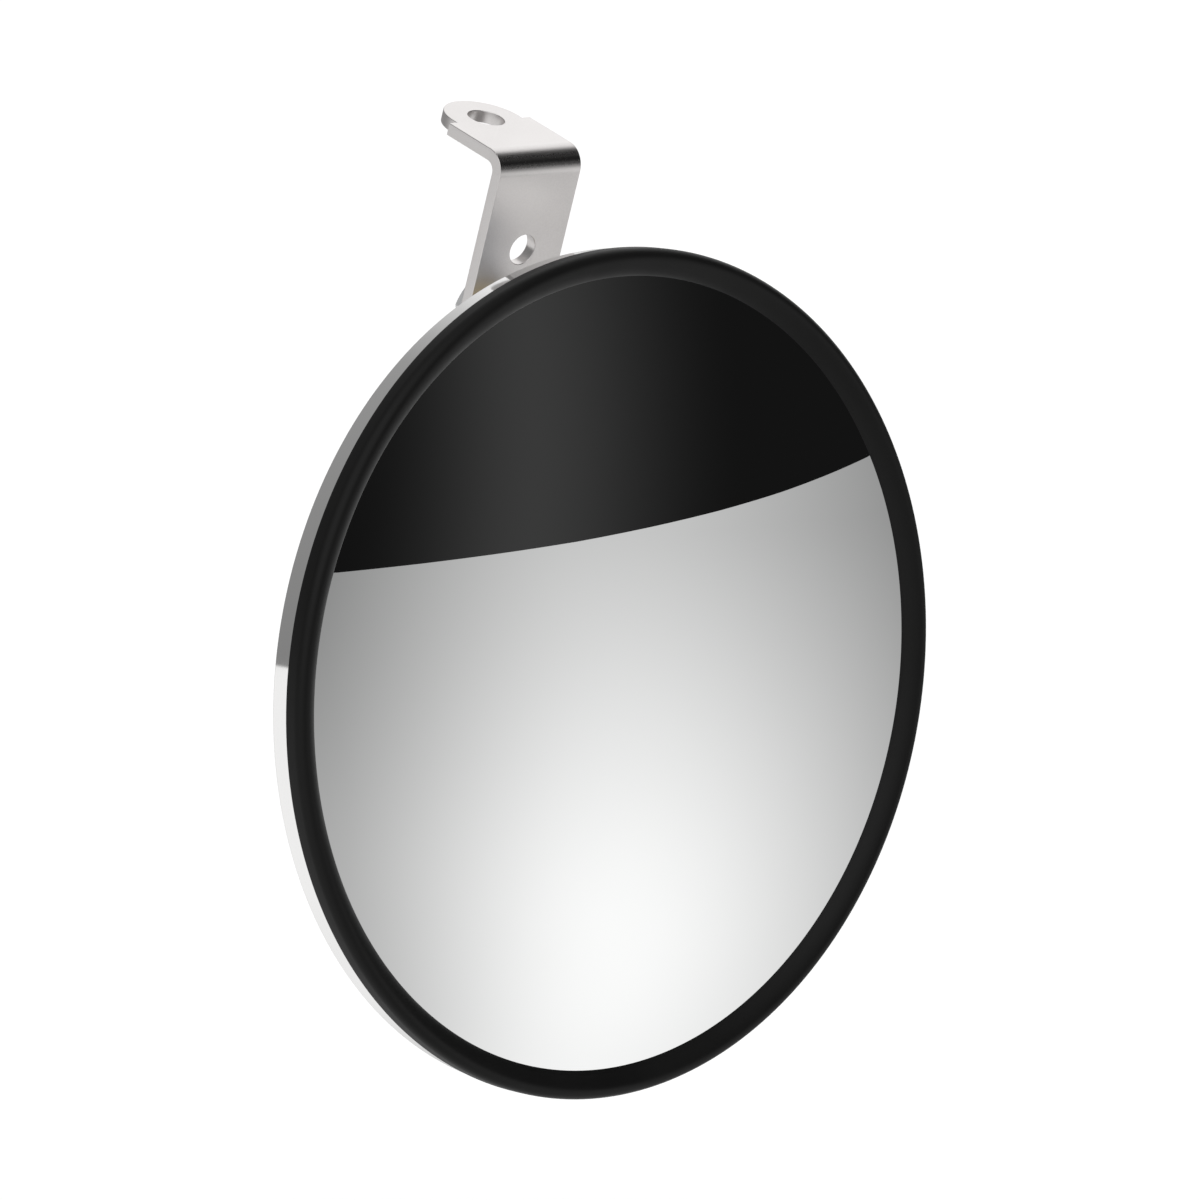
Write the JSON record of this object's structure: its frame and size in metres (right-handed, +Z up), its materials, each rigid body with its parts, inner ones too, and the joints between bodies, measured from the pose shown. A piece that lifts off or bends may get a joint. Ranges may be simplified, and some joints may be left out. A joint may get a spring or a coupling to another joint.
{
  "type": "convex security mirror",
  "caption": "Round convex mirror with a rubber edge and steel back shell, held by an offset lockable ball joint on an L bracket.",
  "frame": {"origin": "on the top face of the bracket's plate, on its centre line, 11 mm behind the leg's front face", "axes": "+Z up, along the upright mirror; -Y is the way the mirror faces; +X to the right when looking along +Y; the bracket leans forward by 19.2 degrees about X"},
  "size_m": [0.2, 0.0677, 0.2308],
  "materials": {
    "satin_steel": "satin stainless strip with a fine grain along its length",
    "polished_steel": "mirror-polished stainless sheet",
    "silvered_glass": "silvered convex glass",
    "black_rubber": "matte black rubber",
    "grey_foam": "grey closed-cell foam",
    "white_nylon": "natural nylon",
    "zinc_plate": "bright zinc plate on steel",
    "yellow_zinc": "yellow-passivated zinc plate on steel"
  },
  "bodies": {
    "bracket": {"l_bracket": "satin_steel"},
    "stud": {"ball_stud": "yellow_zinc", "front_washer": "zinc_plate", "jam_nut": "yellow_zinc", "lock_washer": "zinc_plate", "rear_nut": "zinc_plate"},
    "ball_seats": {"front_seat": "white_nylon", "rear_seat": "white_nylon"},
    "mirror_head": {"mirror_lens": "silvered_glass", "edge_gasket": "black_rubber", "back_shell": "polished_steel", "foam_pad": "grey_foam", "stiffener_plate": "zinc_plate", "socket_seal": "black_rubber", "socket_base": "zinc_plate", "socket_cup": "white_nylon", "socket_cap": "zinc_plate", "wave_washer": "zinc_plate", "socket_screw_1": "zinc_plate", "socket_screw_2": "zinc_plate", "socket_screw_3": "zinc_plate", "socket_nut_1": "zinc_plate", "socket_nut_2": "zinc_plate", "socket_nut_3": "zinc_plate"}
  },
  "joints": [
    {"name": "stud_turn", "type": "hinge", "parent": "bracket", "child": "stud", "pos_m": [0, -0.01206, -0.04899], "axis": [0, 0.9444, 0.3289], "range_deg": [-35, 35]},
    {"name": "mirror_pan", "type": "hinge", "parent": "stud", "child": "ball_seats", "pos_m": [0, -0.01206, -0.04899], "axis": [0, 0, 1], "range_deg": [-20, 20]},
    {"name": "mirror_tilt", "type": "hinge", "parent": "ball_seats", "child": "mirror_head", "pos_m": [0, -0.01206, -0.04899], "axis": [1, 0, 0], "range_deg": [-6, 45]}
  ]
}
